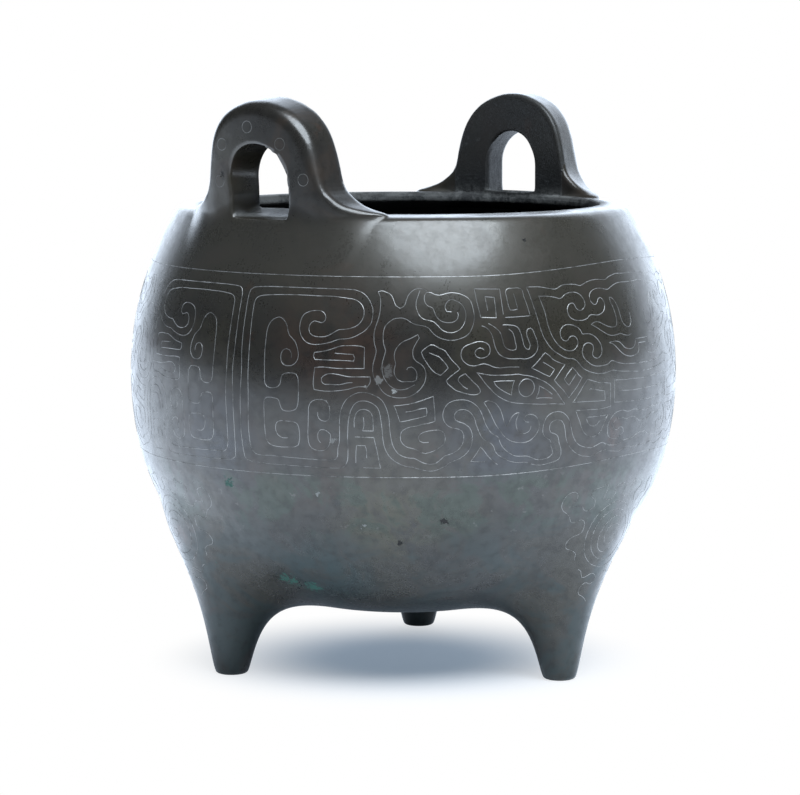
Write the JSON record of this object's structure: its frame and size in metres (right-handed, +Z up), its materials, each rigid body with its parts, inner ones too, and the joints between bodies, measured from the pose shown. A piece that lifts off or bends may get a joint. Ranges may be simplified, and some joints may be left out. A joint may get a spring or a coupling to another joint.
{
  "type": "tripod censer",
  "caption": "Round open tripod censer of dark bronze with two upright loop handles, three short legs and an inlaid silver-wire mask band.",
  "frame": {"origin": "centre of the bounding box on the surface that the three feet stand on", "axes": "+Z up out of the mouth, X from one handle to the other, -Y over the front leg and the nose of the mask"},
  "size_m": [0.1318, 0.1315, 0.1361],
  "materials": {
    "patinated_bronze": "dark brown and olive-grey patina over cast bronze, soft satin outside, rough and sooty inside",
    "silver_wire": "thin inlaid silver wire, worn flush, slightly tarnished"
  },
  "bodies": {
    "root": {"bowl": "patinated_bronze", "leg_front": "patinated_bronze", "leg_back_right": "patinated_bronze", "leg_back_left": "patinated_bronze", "handle_right": "patinated_bronze", "handle_left": "patinated_bronze", "border_wire_upper": "silver_wire", "border_wire_lower": "silver_wire", "whorl_front_ring_1": "silver_wire", "whorl_front_ring_2": "silver_wire", "whorl_front_ring_3": "silver_wire", "whorl_back_right_ring_1": "silver_wire", "whorl_back_right_ring_2": "silver_wire", "whorl_back_right_ring_3": "silver_wire", "whorl_back_left_ring_1": "silver_wire", "whorl_back_left_ring_2": "silver_wire", "whorl_back_left_ring_3": "silver_wire", "ringlet_right_1": "silver_wire", "ringlet_right_2": "silver_wire", "ringlet_right_3": "silver_wire", "ringlet_right_4": "silver_wire", "ringlet_right_5": "silver_wire", "ringlet_left_1": "silver_wire", "ringlet_left_2": "silver_wire", "ringlet_left_3": "silver_wire", "ringlet_left_4": "silver_wire", "ringlet_left_5": "silver_wire", "wire_frame_outer_front_left": "silver_wire", "wire_frame_inner_front_left": "silver_wire", "wire_eye_front_left": "silver_wire", "wire_jaw_front_left": "silver_wire", "wire_brow_front_left": "silver_wire", "wire_pupil_front_left": "silver_wire", "wire_frame_outer_front_right": "silver_wire", "wire_frame_inner_front_right": "silver_wire", "wire_eye_front_right": "silver_wire", "wire_jaw_front_right": "silver_wire", "wire_brow_front_right": "silver_wire", "wire_pupil_front_right": "silver_wire", "wire_frame_outer_back_right": "silver_wire", "wire_frame_inner_back_right": "silver_wire", "wire_eye_back_right": "silver_wire", "wire_jaw_back_right": "silver_wire", "wire_brow_back_right": "silver_wire", "wire_pupil_back_right": "silver_wire", "wire_frame_outer_back_left": "silver_wire", "wire_frame_inner_back_left": "silver_wire", "wire_eye_back_left": "silver_wire", "wire_jaw_back_left": "silver_wire", "wire_brow_back_left": "silver_wire", "wire_pupil_back_left": "silver_wire"}
  },
  "joints": []
}
